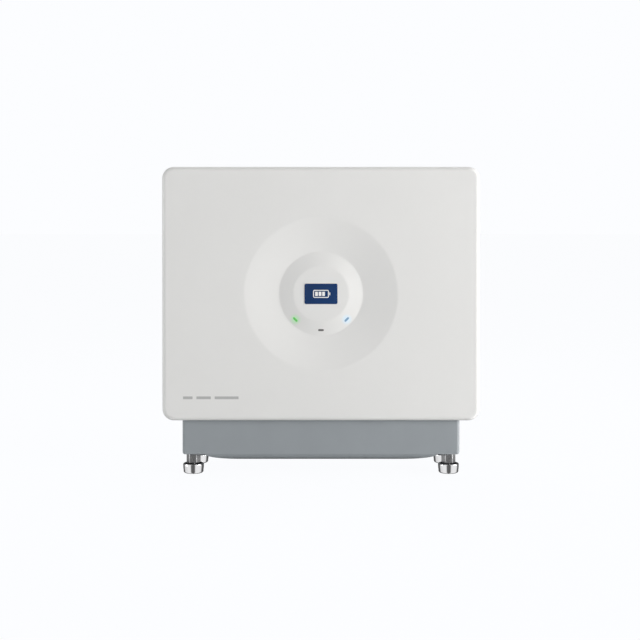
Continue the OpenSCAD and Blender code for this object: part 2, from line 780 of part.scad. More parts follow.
// Cells to contactor, contactor to shunt, shunt to switch, switch to socket.
module cable_negative() color([0.06, 0.06, 0.07]) {
    cable([
        [first_x, bar_y, low_end], [first_x, -40, low_end], [-246, -40, low_end],
        [-246, -40, 532], [-246, 5, 532], [-107, 5, 532], [-107, 5, term_top]
    ], cable_r);
    cable([[-107, 35, term_top], [-107, 35, 524], [139, 35, 524], [139, 35, top_z + 8]], cable_r);
    cable([[181, 35, top_z + 8], [181, 35, 515], [switch_x, 35, 515]], cable_r);
    cable([
        [243, 35, switch_low], [243, 35, minus_z], [243, 10, minus_z], [248, 10, minus_z]
    ], cable_r);
}

// Signal wires from the management board to the cell boards, lights, sockets and button.
module signal_harness() color([0.12, 0.13, 0.15]) {
    plug_high = row_high + cell_h / 2 + 20;
    plug_low = row_low + cell_h / 2 + 20;
    cable([[-25, -34, plug_high], [-25, -34, 410], [-25, -44, 410], [-25, -44, 444]], wire_r);
    cable([
        [5, -34, plug_low], [5, -34, 225], [5, -44, 225],
        [5, -44, 425], [17, -44, 425], [17, -44, 444]
    ], wire_r);
    cable([
        [59, -44, 444], [59, -44, 432], [59, -56, 432],
        [0, -56, cover_mid], [0, lid_y - gap, cover_mid]
    ], wire_r);
    cable([
        [101, -44, 444], [101, -44, 438], [243, -44, 438],
        [243, -44, com_z], [243, 10, com_z], [247, 10, com_z]
    ], wire_r);
    cable([
        [246, 20, button_z], [232, 20, button_z],
        [232, board_y + 0.8, button_z], [134, board_y + 0.8, button_z]
    ], 0.7);
}

// ---------- connections on the right-hand side ----------

module isolator_body() color([0.14, 0.14, 0.15]) difference() {
    union() {
        block([switch_x, switch_y - switch_half, switch_low],
              [inner_x, switch_y + switch_half, switch_z + switch_half]);
        translate([inner_x - hair, switch_y, switch_z]) bar_x(9.8, sheet + 1);
        block([side_x, switch_y - 28, switch_z - 28], [side_x + 3, switch_y + 28, switch_z + 28]);
    }
    translate([230, switch_y, switch_z]) bar_x(4 + run, 60);
}

// The switch's turning half: shaft, round base and a grip bar with a pointer end.
module isolator_knob() color([0.62, 0.10, 0.09]) translate([0, switch_y, switch_z]) {
    translate([231, 0, 0]) bar_x(4, knob_x - 231 + hair);
    translate([knob_x, 0, 0]) bar_x(22, 6);
    translate([knob_x + 5.9, -6, -19]) cube([13, 12, 38]);
}

module button_bezel() color(steel) translate([0, switch_y, button_z]) difference() {
    union() {
        translate([246, 0, 0]) bar_x(8, side_x - 246 + hair);
        translate([side_x, 0, 0]) bar_x(11, 3);
    }
    translate([250, 0, 0]) bar_x(5.5 + run, 30);
}

module start_button() color([0.10, 0.35, 0.62]) translate([254, switch_y, button_z]) {
    bar_x(5.5, side_x + 4 - 254);
    translate([side_x + 4 - 254 - hair, 0, 0]) rotate([0, 90, 0]) cylinder(r1 = 5.5, r2 = 4.5, h = 1);
}

// A round power socket with a square flange and a locking ring.
module dc_connector(z) translate([0, socket_y, z]) difference() {
    union() {
        translate([248, 0, 0]) bar_x(8, side_x - 248 + hair);
        block([side_x, -13, -13], [side_x + 3, 13, 13]);
        translate([side_x + 3 - hair, 0, 0]) bar_x(9.5, 19);
        translate([side_x + 10, 0, 0]) bar_x(11, 3);
    }
    translate([side_x + 2, 0, 0]) bar_x(socket_r, 30);
}
module dc_connector_positive() color([0.72, 0.10, 0.08]) dc_connector(plus_z);
module dc_connector_negative() color([0.06, 0.06, 0.07]) dc_connector(minus_z);

// Two sockets for data plugs.
module com_sockets() color([0.12, 0.12, 0.13]) difference() {
    union() {
        block([247, socket_y - 17, com_z - 8], [side_x + hair, socket_y + 17, com_z + 8]);
        block([side_x, socket_y - 21, com_z - 12], [side_x + 3, socket_y + 21, com_z + 12]);
    }
    for (s = [-1, 1]) translate([side_x - 11, socket_y + s * 8.5, com_z]) {
        block([0, -6, -4], [20, 6, 4]);
        block([0, -2.5, -6], [20, 2.5, 0]);
    }
}

module earth_stud() color([0.80, 0.70, 0.35]) translate([0, socket_y, earth_z]) {
    translate([258, 0, 0]) bar_x(earth_r, side_x + 22 - 258);
    difference() {
        union() {
            translate([side_x, 0, 0]) bar_x(7, 1.5);
            translate([side_x + 1.5 - hair, 0, 0]) rotate([0, 90, 0]) cylinder(r = 5.8, h = 5, $fn = 6);
        }
        translate([side_x - 1, 0, 0]) bar_x(earth_r - hair, 10);
    }
    translate([inner_x - 4, 0, 0]) rotate([0, 90, 0]) cylinder(r = 5.8, h = 4, $fn = 6);
}

module pressure_vent() color([0.12, 0.12, 0.13]) translate([0, socket_y, vent_z]) {
    translate([256, 0, 0]) bar_x(6, side_x - 256 + hair);
    translate([side_x, 0, 0]) rotate([0, 90, 0]) cylinder(r = 11, h = 4, $fn = 6);
    translate([side_x + 4 - hair, 0, 0]) bar_x(8.5, 4);
}

// ---------- the nodes ----------

front_cover();
hub_ring();
hub_cap();
emblem_plate();
light_guide_left();
light_guide_bottom();
light_guide_right();
cover_studs();
housing_shell();
housing_lid();
lid_gasket();
lid_screws();
clip_sockets();
display_pod();
display_windows();
led_board();
base_skirt();
base_rails();
foot_inserts();
base_screws();
base_bolts();
foot_pad_front_left();
foot_stud_front_left();
foot_pad_front_right();
foot_stud_front_right();
foot_pad_rear_left();
foot_stud_rear_left();
foot_pad_rear_right();
foot_stud_rear_right();
wall_brackets();
bracket_screws();
wall_buffers();
carry_handles();
handle_screws();
cells_lower();
cells_upper();
end_plates();
tie_straps();
module_shelf();
busbar_frames();
busbars();
cell_boards();
bms_tray();
bms_board();
contactors();
precharge_resistor();
main_fuse();
current_shunt();
cable_positive();
cable_negative();
signal_harness();
isolator_body();
isolator_knob();
button_bezel();
start_button();
dc_connector_positive();
dc_connector_negative();
com_sockets();
earth_stud();
pressure_vent();
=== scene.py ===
"""Looks of a floor-standing home battery cabinet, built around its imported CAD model.

Metres, +Z up, +X to the viewer's right, front at -Y.
"""
import json
import math

import bmesh
import bpy
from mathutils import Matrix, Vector

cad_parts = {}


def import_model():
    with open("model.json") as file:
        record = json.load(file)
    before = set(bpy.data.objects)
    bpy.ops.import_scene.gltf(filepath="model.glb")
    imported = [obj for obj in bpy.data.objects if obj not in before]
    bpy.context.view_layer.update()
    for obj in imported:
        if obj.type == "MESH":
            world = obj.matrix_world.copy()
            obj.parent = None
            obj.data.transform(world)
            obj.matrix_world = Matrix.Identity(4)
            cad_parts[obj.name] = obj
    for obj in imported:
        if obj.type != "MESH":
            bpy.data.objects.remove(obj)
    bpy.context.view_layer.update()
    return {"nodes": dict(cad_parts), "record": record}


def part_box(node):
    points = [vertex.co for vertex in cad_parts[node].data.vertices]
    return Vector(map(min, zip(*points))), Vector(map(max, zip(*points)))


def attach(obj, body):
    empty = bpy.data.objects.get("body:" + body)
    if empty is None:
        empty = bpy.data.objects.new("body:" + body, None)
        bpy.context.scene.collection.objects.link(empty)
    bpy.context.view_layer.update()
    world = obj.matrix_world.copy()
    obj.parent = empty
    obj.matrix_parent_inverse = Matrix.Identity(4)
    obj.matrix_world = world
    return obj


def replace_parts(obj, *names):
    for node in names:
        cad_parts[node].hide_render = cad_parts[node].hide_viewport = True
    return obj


# ---------- sizes (metres) and places ----------

# The cover: its front face, outline, wall and the heights of its lower edge and middle.
FACE_Y = -0.092
COVER_W, COVER_H, COVER_D = 0.606, 0.484, 0.046
COVER_LOW = 0.1065
COVER_MID = COVER_LOW + COVER_H / 2
CORNER_R, EDGE_R, WALL = 0.022, 0.008, 0.003
# Its bottom wall stops short of the base: half the length of that stretch, and where the wall ends there.
NOTCH_HALF, NOTCH_Y = 0.269, -0.0741
# Its snap posts, inside, as (x, z), and the heights of its stiffening ribs from its middle.
SNAPS = [(x * 0.235, COVER_MID + z * 0.188) for x in (-1, 1) for z in (-1, 0, 1)]
RIB_RISES = (-0.094, 0.094)
RIB_START, RIB_END = 0.165, 0.285

# The dish with the hub in it: rims, depths behind the face, and how the corners between them are rounded.
HUB_R, HUB_TOP_R, HUB_SUNK = 0.081, 0.053, 0.0035
DISH_R, DISH_DEPTH, BEND_R = 0.1465, 0.009, 0.045
VALLEY_R, BROW_R = 0.018, 0.034
HUB_Y = FACE_Y + HUB_SUNK
DISH_FLOOR_Y = FACE_Y + DISH_DEPTH
DISH_SLOPE = math.atan(DISH_DEPTH / (DISH_R - HUB_R))
HUB_SLOPE = math.atan((DISH_DEPTH - HUB_SUNK) / (HUB_R - HUB_TOP_R))

# The indicator lights on the hub's slope: name, angle around the hub and material.
LIGHTS = (("left", 225, "light_green"), ("bottom", 270, "light_off"), ("right", 315, "light_blue"))
LIGHT_R, LIGHT_HALF_LONG, LIGHT_HALF_WIDE, LIGHT_PROUD = 0.0695, 0.0055, 0.0020, 0.00015
# Painted light beside a lit guide: its angle, the colour of light painted into the white there, and the glow
# painted on it.
HALOS = ((225, (0.56, 0.76, 0.55), (0.0, 0.05, 0.0)), (315, (0.69, 0.75, 0.78), (0.0, 0.06, 0.12)))
HALO_START, HALO_END = 0.002, 0.0135

# The printed bars low on the cover's left: height, ends, and where each gap starts and stops between them.
PRINT_Z, PRINT_HEIGHT = 0.1505, 0.0052
PRINT_X = (-0.263, -0.157)
PRINT_STOPS = (0.17, 0.24, 0.50, 0.57)

# The emblem: how far it stands proud, its corners, and its battery pictogram.
EMBLEM_PROUD, EMBLEM_CORNER_R = 0.00006, 0.003
CELL_W, CELL_H, CELL_LINE = 0.0300, 0.0150, 0.0016

# The base: the height below which its belly rolls under and its paint is painted darker as shade, over how far,
# and how deep.
BELLY_LINE, BELLY_FADE, BELLY_ROLL = 0.0400, 0.012, 0.0036

# The feet: the radius of a disc's top painted dark as painted shade and dark reflection, and the hexagonal
# collar and thread.
FEET = ("front_left", "front_right", "rear_left", "rear_right")
FOOT_DARK_R = 0.0166
COLLAR_TOP, COLLAR_FLATS, COLLAR_CORNERS = 0.0402, 0.01195, 0.0135
THREAD_PITCH, THREAD_DEPTH, THREAD_R = 0.0015, 0.0009, 0.0060

# The switch's knob: height over its disc's back, half the grip's width and length, and its round corners.
KNOB_HEIGHT, KNOB_SHAFT_R = 0.0189, 0.0040
GRIP_HALF_W, GRIP_HALF_L, GRIP_CORNER_R = 0.0058, 0.0188, 0.0030

WHITE = (0.752, 0.745, 0.729)
PRINT_GREY = (0.44, 0.44, 0.435)
PAINT = (0.284, 0.307, 0.325)
# A gap too narrow to see, which keeps two faces apart, and one that keeps a ring's points apart.
HAIR, SPECK = 0.00001, 0.0000001

# ---------- node helpers ----------


class Shader:
    """A node material under construction: one Principled surface with procedural inputs."""

    def __init__(self, name):
        self.material = bpy.data.materials.new(name)
        self.material.use_nodes = True
        self.nodes = self.material.node_tree.nodes
        self.links = self.material.node_tree.links
        self.surface = self.nodes["Principled BSDF"]
        coords = self.nodes.new("ShaderNodeTexCoord")
        self.place = coords.outputs["Object"]

    def link(self, out, target):
        self.links.new(out, target)

    def stretched(self, scale):
        """Object coordinates scaled along X, Y and Z."""
        mapping = self.nodes.new("ShaderNodeMapping")
        mapping.inputs["Scale"].default_value = scale
        self.link(self.place, mapping.inputs["Vector"])
        return mapping.outputs["Vector"]

    def noise(self, scale, detail=4.0, roughness=0.55, vector=None, distortion=0.0):
        tex = self.nodes.new("ShaderNodeTexNoise")
        tex.inputs["Scale"].default_value = scale
        tex.inputs["Detail"].default_value = detail
        tex.inputs["Roughness"].default_value = roughness
        tex.inputs["Distortion"].default_value = distortion
        self.link(vector or self.place, tex.inputs["Vector"])
        return tex.outputs["Fac"]

    def spread(self, value, low, high, start=0.3, end=0.7):
        """A texture's middle range stretched to low..high."""
        ranged = self.nodes.new("ShaderNodeMapRange")
        ranged.inputs["From Min"].default_value = start
        ranged.inputs["From Max"].default_value = end
        ranged.inputs["To Min"].default_value = low
        ranged.inputs["To Max"].default_value = high
        self.link(value, ranged.inputs["Value"])
        return ranged.outputs["Result"]

    def blend(self, factor, first, second):
        """A colour between two colours or colour sockets."""
        mix = self.nodes.new("ShaderNodeMix")
        mix.data_type = "RGBA"
        for index, colour in ((6, first), (7, second)):
            if isinstance(colour, tuple):
                mix.inputs[index].default_value = (*colour, 1.0)
            else:
                self.link(colour, mix.inputs[index])
        if isinstance(factor, float):
            mix.inputs[0].default_value = factor
        else:
            self.link(factor, mix.inputs[0])
        return mix.outputs[2]

    def math(self, operation, *values):
        """The result of a sum or comparison; each value is a number or a socket."""
        node = self.nodes.new("ShaderNodeMath")
        node.operation = operation
        for socket, value in zip(node.inputs, values):
            if isinstance(value, float):
                socket.default_value = value
            else:
                self.link(value, socket)
        return node.outputs[0]

    def parts(self):
        """The X, Y and Z of the place on the object."""
        split = self.nodes.new("ShaderNodeSeparateXYZ")
        self.link(self.place, split.inputs[0])
        return split.outputs["X"], split.outputs["Y"], split.outputs["Z"]

    def bump(self, height, strength, distance, below=None):
        node = self.nodes.new("ShaderNodeBump")
        node.inputs["Strength"].default_value = strength
        node.inputs["Distance"].default_value = distance
        self.link(height, node.inputs["Height"])
        if below is not None:
            self.link(below, node.inputs["Normal"])
        return node.outputs["Normal"]

    def set(self, **values):
        """Sets values that are the same all over the surface."""
        names = {"metallic": "Metallic", "specular": "Specular IOR Level", "roughness": "Roughness",
                 "transmission": "Transmission Weight", "glow": "Emission Strength"}
        for key, value in values.items():
            self.surface.inputs[names[key]].default_value = value
        return self


def shade(colour, factor):
    return tuple(min(1.0, c * factor) for c in colour)


def fine_surface(name, colour, rough, variety=0.06, rough_variety=0.08, grain=(2200.0, 0.00004, 0.25),
                 cloud=18.0, **settings):
    """Moulded or painted surface: cloudy colour, uneven gloss and a fine grain."""
    s = Shader(name)
    clouds = s.noise(cloud, 5.0)
    s.link(s.blend(s.spread(clouds, 0.0, 1.0), shade(colour, 1 - variety), shade(colour, 1 + variety)),
           s.surface.inputs["Base Color"])
    smears = s.noise(cloud * 3.1, 6.0, 0.6, distortion=0.4)
    s.link(s.spread(smears, rough - rough_variety, rough + rough_variety), s.surface.inputs["Roughness"])
    scale, depth, strength = grain
    s.link(s.bump(s.noise(scale, 3.0, 0.6), strength, depth), s.surface.inputs["Normal"])
    return s.set(**settings).material


def skirt_surface(name, colour):
    """The housing's paint, on a sheet whose belly rolls under, so that it turns from the light; below the belly
    line its colour is also painted darker as painted shade.
    """
    s = Shader(name)
    z = s.parts()[2]
    above = s.spread(z, 0.0, 1.0, BELLY_LINE - 0.0015, BELLY_LINE + 0.0005)
    clouds = s.noise(12.0, 5.0)
    tone = s.blend(s.spread(clouds, 0.0, 1.0), shade(colour, 0.97), shade(colour, 1.03))
    # Below the belly line the colour is blended darker: painted shade where the belly rolls under.
    s.link(s.blend(above, s.blend(0.5, tone, shade(colour, 0.94)), tone), s.surface.inputs["Base Color"])
    s.link(s.spread(s.noise(37.0, 6.0, 0.6, distortion=0.4), 0.39, 0.53), s.surface.inputs["Roughness"])
    roll = s.bump(s.spread(z, -BELLY_ROLL, 0.0, BELLY_LINE - BELLY_FADE, BELLY_LINE), 1.0, 1.0)
    s.link(s.bump(s.noise(900.0, 3.0, 0.6), 0.35, 0.00006, roll), s.surface.inputs["Normal"])
    return s.material


def brushed_surface(name, colour, rough, along=(1.0, 1.0, 1.0), variety=0.08, streak=900.0, **settings):
    """Metal with fine lines along one axis, where along is small on that axis."""
    s = Shader(name)
    lines = s.noise(streak, 4.0, 0.7, s.stretched(along))
    clouds = s.noise(30.0, 4.0)
    base = s.blend(s.spread(clouds, 0.0, 1.0), shade(colour, 1 - variety), shade(colour, 1 + variety))
    s.link(base, s.surface.inputs["Base Color"])
    s.link(s.spread(lines, rough * 0.7, rough * 1.35), s.surface.inputs["Roughness"])
    s.link(s.bump(lines, 0.12, 0.00003), s.surface.inputs["Normal"])
    return s.set(metallic=1.0, **settings).material


# ---------- the materials ----------


def make_materials():
    """Every material slot of the record, and the three that only single pieces take."""
    m = {}
    m["cover_white"] = cover_surface("cover_white")
    m["hub_white"] = hub_surface("hub_white")
    m["housing_paint"] = fine_surface(
        "housing_paint", PAINT, 0.46, 0.03, 0.07, (900.0, 0.00006, 0.35), 12.0)
    m["bezel_steel"] = brushed_surface(
        "bezel_steel", (0.58, 0.58, 0.58), 0.22, (0.02, 1.0, 1.0), 0.04, 4000.0)
    m["skirt_paint"] = skirt_surface("skirt_paint", PAINT)
    m["plated_steel"] = brushed_surface("plated_steel", (0.62, 0.63, 0.62), 0.34, (1.0, 1.0, 0.05))
    m["screw_steel"] = brushed_surface("screw_steel", (0.62, 0.62, 0.61), 0.26, (1.0, 1.0, 0.2))
    m["foot_chrome"] = brushed_surface("foot_chrome", (0.80, 0.80, 0.81), 0.07, (0.15, 0.15, 1.0), 0.03)
    # The near-black metal of a disc's dished top is painted shade and painted dark reflection.
    m["foot_painted_shade"] = brushed_surface("foot_painted_shade", (0.050, 0.050, 0.053), 0.36, (1.0, 1.0, 0.3), 0.10)
    m["foot_satin"] = brushed_surface("foot_satin", (0.60, 0.60, 0.61), 0.32, (1.0, 1.0, 0.15), 0.06)
    m["insert_brass"] = brushed_surface("insert_brass", (0.72, 0.55, 0.27), 0.30, (0.2, 0.2, 1.0))
    m["rubber_black"] = fine_surface("rubber_black", (0.022, 0.022, 0.023), 0.74, 0.15, 0.08)
    m["plastic_black"] = fine_surface("plastic_black", (0.020, 0.021, 0.023), 0.50, 0.10, 0.08,
                                      (1500.0, 0.00006, 0.4))
    m["board_green"] = board_surface("board_green")
    m["cell_blue"] = fine_surface(
        "cell_blue", (0.05, 0.17, 0.40), 0.30, 0.06, 0.08, (500.0, 0.00005, 0.2), 30.0)
    m["plate_aluminium"] = brushed_surface("plate_aluminium", (0.74, 0.75, 0.76), 0.36, (1.0, 1.0, 0.03))
    m["copper"] = brushed_surface("copper", (0.80, 0.42, 0.26), 0.28, (0.05, 1.0, 1.0), 0.14)
    m["relay_black"] = fine_surface("relay_black", (0.045, 0.045, 0.05), 0.42, 0.1, 0.08)
    m["resistor_gold"] = brushed_surface("resistor_gold", (0.66, 0.46, 0.14), 0.35, (0.05, 1.0, 1.0))
    m["fuse_ceramic"] = fine_surface("fuse_ceramic", (0.80, 0.78, 0.70), 0.28, 0.03, 0.06)
    m["cable_red"] = fine_surface("cable_red", (0.55, 0.06, 0.02), 0.48, 0.08, 0.08)
    m["cable_black"] = fine_surface("cable_black", (0.03, 0.03, 0.032), 0.50, 0.1, 0.08)
    m["knob_red"] = fine_surface("knob_red", (0.34, 0.014, 0.011), 0.34, 0.08, 0.07)
    m["button_blue"] = fine_surface("button_blue", (0.018, 0.085, 0.30), 0.30, 0.05, 0.06)
    m["connector_red"] = fine_surface("connector_red", (0.33, 0.014, 0.011), 0.46, 0.08, 0.07)
    m["connector_black"] = fine_surface("connector_black", (0.019, 0.019, 0.021), 0.46, 0.1, 0.07)
    m["emblem_navy"] = fine_surface("emblem_navy", (0.0075, 0.037, 0.130), 0.24, 0.06, 0.05, specular=0.5)
    m["emblem_white"] = fine_surface("emblem_white", (0.84, 0.84, 0.83), 0.35, 0.02, 0.05)
    m["light_green"] = light_surface("light_green", (0.065, 0.290, 0.060), 1.0)
    m["light_blue"] = light_surface("light_blue", (0.100, 0.180, 0.270), 0.8)
    m["light_off"] = fine_surface("light_off", (0.16, 0.155, 0.15), 0.22, 0.05, 0.05)
    m["window_clear"] = fine_surface("window_clear", (0.85, 0.90, 0.92), 0.12, 0.01, 0.04, transmission=0.9)
    return m


def white_base(name):
    """Satin white moulding: very fine grain, faint clouds and slightly uneven gloss."""
    s = Shader(name)
    clouds = s.noise(9.0, 5.0)
    tone = s.blend(s.spread(clouds, 0.0, 1.0), shade(WHITE, 0.992), shade(WHITE, 1.008))
    smears = s.noise(28.0, 6.0, 0.6, distortion=0.4)
    s.link(s.spread(smears, 0.33, 0.41), s.surface.inputs["Roughness"])
    waves = s.bump(s.noise(6.0, 2.0), 0.05, 0.002)
    s.link(s.bump(s.noise(2600.0, 3.0, 0.6), 0.20, 0.00003, waves), s.surface.inputs["Normal"])
    return s, tone


def cover_surface(name):
    """The white of the cover, with a faint printed row of plain bars low on the left of its face."""
    s, tone = white_base(name)
    x, y, z = s.parts()
    along = s.spread(x, 0.0, 1.0, *PRINT_X)
    ramp = s.nodes.new("ShaderNodeValToRGB")
    ramp.color_ramp.interpolation = "CONSTANT"
    stops = ramp.color_ramp.elements
    stops[0].position, stops[0].color = 0.0, (1, 1, 1, 1)
    stops[1].position, stops[1].color = PRINT_STOPS[0], (0, 0, 0, 1)
    for index, place in enumerate(PRINT_STOPS[1:]):
        stops.new(place).color = (1, 1, 1, 1) if index % 2 == 0 else (0, 0, 0, 1)
    s.link(along, ramp.inputs["Fac"])
    in_row = s.math("COMPARE", z, PRINT_Z, PRINT_HEIGHT / 2)
    on_face = s.math("LESS_THAN", y, FACE_Y + 0.0002)
    inside = s.math("COMPARE", along, 0.5, 0.499)
    mask = s.math("MULTIPLY", s.math("MULTIPLY", in_row, on_face), inside)
    mask = s.math("MULTIPLY", mask, ramp.outputs["Color"])
    s.link(s.blend(mask, tone, PRINT_GREY), s.surface.inputs["Base Color"])
    return s.set(specular=0.45).material


def hub_surface(name):
    """The white of the hub, with painted light, a tint and a soft glow, around the two lit guides."""
    s, tone = white_base(name)
    glow = None
    # Each halo is painted light: near a lit guide the white is tinted and made to glow, fading with distance.
    for angle, tint, colour in HALOS:
        spot = s.nodes.new("ShaderNodeVectorMath")
        spot.operation = "DISTANCE"
        spot.inputs[1].default_value = light_place(angle)
        s.link(s.place, spot.inputs[0])
        near = s.spread(spot.outputs["Value"], 1.0, 0.0, HALO_START, HALO_END)
        near.node.interpolation_type = "SMOOTHERSTEP"
        tone = s.blend(near, tone, tint)
        lit = s.blend(near, (0.0, 0.0, 0.0), colour)
        if glow is None:
            glow = lit
            continue
        both = s.nodes.new("ShaderNodeMix")
        both.data_type = "RGBA"
        both.blend_type = "ADD"
        both.inputs[0].default_value = 1.0
        s.link(glow, both.inputs[6])
        s.link(lit, both.inputs[7])
        glow = both.outputs[2]
    s.link(tone, s.surface.inputs["Base Color"])
    s.link(glow, s.surface.inputs["Emission Color"])
    return s.set(specular=0.45, glow=1.0).material


def light_place(angle):
    """The middle of an indicator light's face, on the hub's slope."""
    a = math.radians(angle)
    return (LIGHT_R * math.cos(a), slope_y(LIGHT_R), COVER_MID + LIGHT_R * math.sin(a))


def slope_y(radius):
    """Depth of the hub's straight slope at a distance from the hub's axis."""
    return DISH_FLOOR_Y - (HUB_R - radius) * (DISH_DEPTH - HUB_SUNK) / (HUB_R - HUB_TOP_R)


def board_surface(name):
    """Green soldermask with paler tracks under it."""
    s = Shader(name)
    tracks = s.nodes.new("ShaderNodeTexBrick")
    tracks.inputs["Scale"].default_value = 160.0
    tracks.inputs["Mortar Size"].default_value = 0.06
    tracks.inputs["Color1"].default_value = (0.012, 0.11, 0.055, 1)
    tracks.inputs["Color2"].default_value = (0.016, 0.13, 0.065, 1)
    tracks.inputs["Mortar"].default_value = (0.03, 0.20, 0.10, 1)
    s.link(s.stretched((1.0, 1.0, 1.0)), tracks.inputs["Vector"])
    s.link(tracks.outputs["Color"], s.surface.inputs["Base Color"])
    s.link(s.spread(s.noise(60.0), 0.22, 0.38), s.surface.inputs["Roughness"])
    s.link(s.bump(tracks.outputs["Fac"], 0.2, 0.00005), s.surface.inputs["Normal"])
    return s.material


def light_surface(name, colour, glow):
    """A lit light guide: unevenly bright, with a frosted face."""
    s = Shader(name)
    uneven = s.noise(900.0, 2.0)
    tint = s.blend(s.spread(uneven, 0.0, 1.0), shade(colour, 0.85), shade(colour, 1.2))
    s.link(tint, s.surface.inputs["Base Color"])
    s.link(tint, s.surface.inputs["Emission Color"])
    s.link(s.spread(s.noise(1500.0), 0.25, 0.4), s.surface.inputs["Roughness"])
    return s.set(glow=glow).material


# ---------- mesh helpers ----------


def turn_outwards(mesh):
    """Turns every face of a mesh outwards."""
    work = bmesh.new()
    work.from_mesh(mesh)
    bmesh.ops.recalc_face_normals(work, faces=work.faces)
    work.to_mesh(mesh)
    work.free()


def new_piece(name, verts, faces, material, body, slot, sharp=None):
    """A piece that rides on a body. Edges that bend more than sharp degrees stay sharp, and at 0 all do."""
    mesh = bpy.data.meshes.new(name)
    mesh.from_pydata([tuple(v) for v in verts], [], faces)
    mesh.validate()
    turn_outwards(mesh)
    mesh.polygons.foreach_set("use_smooth", [sharp != 0] * len(mesh.polygons))
    if sharp:
        mesh.set_sharp_from_angle(angle=math.radians(sharp))
    mesh.materials.append(material)
    piece = bpy.data.objects.new(name, mesh)
    bpy.context.scene.collection.objects.link(piece)
    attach(piece, body)
    return piece


def join_rings(rings, closed=False):
    """Points and faces of rings that follow each other, between two caps or, when closed, in a circle."""
    per, verts, faces = len(rings[0]), [point for ring in rings for point in ring], []
    for one in range(len(rings) if closed else len(rings) - 1):
        two = (one + 1) % len(rings)
        for i in range(per):
            j = (i + 1) % per
            faces.append((one * per + i, one * per + j, two * per + j, two * per + i))
    if not closed:
        faces += [tuple(range(per)), tuple(range(len(verts) - per, len(verts)))]
    return verts, faces


def merge(solids):
    """Points and faces of several solids as one."""
    verts, faces = [], []
    for solid_verts, solid_faces in solids:
        faces += [tuple(len(verts) + v for v in face) for face in solid_faces]
        verts += solid_verts
    return verts, faces


def stack(name, rings, material, body, slot, sharp=30, closed=False):
    """A piece made of rings of points that follow each other."""
    return new_piece(name, *join_rings(rings, closed), material, body, slot, sharp)


def circle(axis, centre, along, radius, steps):
    """A ring around an axis that crosses its plane at centre; the radius may depend on the angle."""
    points = []
    for i in range(steps):
        a = 2 * math.pi * i / steps
        r = radius(a) if callable(radius) else radius
        u, v = centre[0] + r * math.cos(a), centre[1] + r * math.sin(a)
        points.append({"X": (along, u, v), "Y": (u, along, v), "Z": (u, v, along)}[axis])
    return points


def round_rect(half_w, half_h, corner, steps=5, centre=(0.0, 0.0)):
    """The outline of a rectangle with round corners, as (u, v)."""
    points = []
    for side_u, side_v, turn in ((1, 1, 0), (-1, 1, 90), (-1, -1, 180), (1, -1, 270)):
        for k in range(steps + 1):
            a = math.radians(turn + 90 * k / steps)
            points.append((centre[0] + side_u * (half_w - corner) + corner * math.cos(a),
                           centre[1] + side_v * (half_h - corner) + corner * math.sin(a)))
    return points


def soften(piece, width):
    """Rounds a CAD node's hard edges without touching its own mesh."""
    weld = piece.modifiers.new("weld", "WELD")
    weld.merge_threshold = 0.000002
    bevel = piece.modifiers.new("bevel", "BEVEL")
    bevel.width = width
    bevel.segments = 2
    bevel.limit_method = "ANGLE"
    bevel.angle_limit = math.radians(30)
    bevel.harden_normals = False
    normals = piece.modifiers.new("normals", "WEIGHTED_NORMAL")
    normals.keep_sharp = False
    normals.weight = 90


# ---------- the front cover ----------


def outline_spine(half_w, half_h, corner, breaks):
    """Points around a round-cornered rectangle: (x, z, nx, nz) on the line through the corners' centres."""
    w, h = half_w - corner, half_h - corner
    steps, corner_steps = 40, 12
    spine = []
    sides = [((w, -h), (w, h), (1, 0), ()), ((w, h), (-w, h), (0, 1), ()),
             ((-w, h), (-w, -h), (-1, 0), ()), ((-w, -h), (w, -h), (0, -1), breaks)]
    for start, end, normal, extra in sides:
        places = {i / steps for i in range(1, steps)}
        if extra:
            places |= {(x - start[0]) / (end[0] - start[0]) for x in extra}
        for t in sorted(places | {0.0, 1.0}):
            spine.append((start[0] + (end[0] - start[0]) * t, start[1] + (end[1] - start[1]) * t, *normal))
        turn = math.atan2(normal[1], normal[0])
        for k in range(1, corner_steps):
            a = turn + math.pi / 2 * k / corner_steps
            spine.append((*end, math.cos(a), math.sin(a)))
    return spine


def fillet(start, end, centre_y, radius, steps):
    """Steps of an edge's rounding as (inset, y), from the angle start to the angle end."""
    angles = [start + (end - start) * k / steps for k in range(steps + 1)]
    return [(radius * (1 - math.sin(a)), centre_y - radius * math.cos(a)) for a in angles]


def line(start, end, parts):
    """The points that divide a line into parts, without its ends."""
    return [tuple(a + (b - a) * k / parts for a, b in zip(start, end)) for k in range(1, parts)]


def valley():
    """Where the rounding between dish and hub is level: its radius, and how far it is lifted."""
    reach = VALLEY_R * math.tan((DISH_SLOPE + HUB_SLOPE) / 2)
    start_r = HUB_R + reach * math.cos(DISH_SLOPE)
    start_lift = reach * math.sin(DISH_SLOPE)
    return start_r - VALLEY_R * math.sin(DISH_SLOPE), start_lift - VALLEY_R * (1 - math.cos(DISH_SLOPE))


VALLEY_START_R, VALLEY_LIFT = valley()


def bend(radius, level_r, level_y, outwards, upwards, slope, steps):
    """A rounding from where it is level, at (level_r, level_y), up to a slope, as (radius, y)."""
    angles = [slope * k / steps for k in range(steps + 1)]
    return [(level_r + outwards * radius * math.sin(a), level_y + upwards * radius * (1 - math.cos(a)))
            for a in angles]


def dish_section():
    """The dish from the hub's edge outwards, as (radius, y), and the radius where it meets the flat face."""
    edge_r = DISH_R + BEND_R * math.tan(DISH_SLOPE / 2)
    foot = bend(VALLEY_R, VALLEY_START_R, DISH_FLOOR_Y - VALLEY_LIFT, 1, -1, DISH_SLOPE, 6)
    rim = bend(BEND_R, edge_r, FACE_Y, -1, 1, DISH_SLOPE, 16)[::-1]
    return foot + line(foot[-1], rim[0], 8) + rim, edge_r


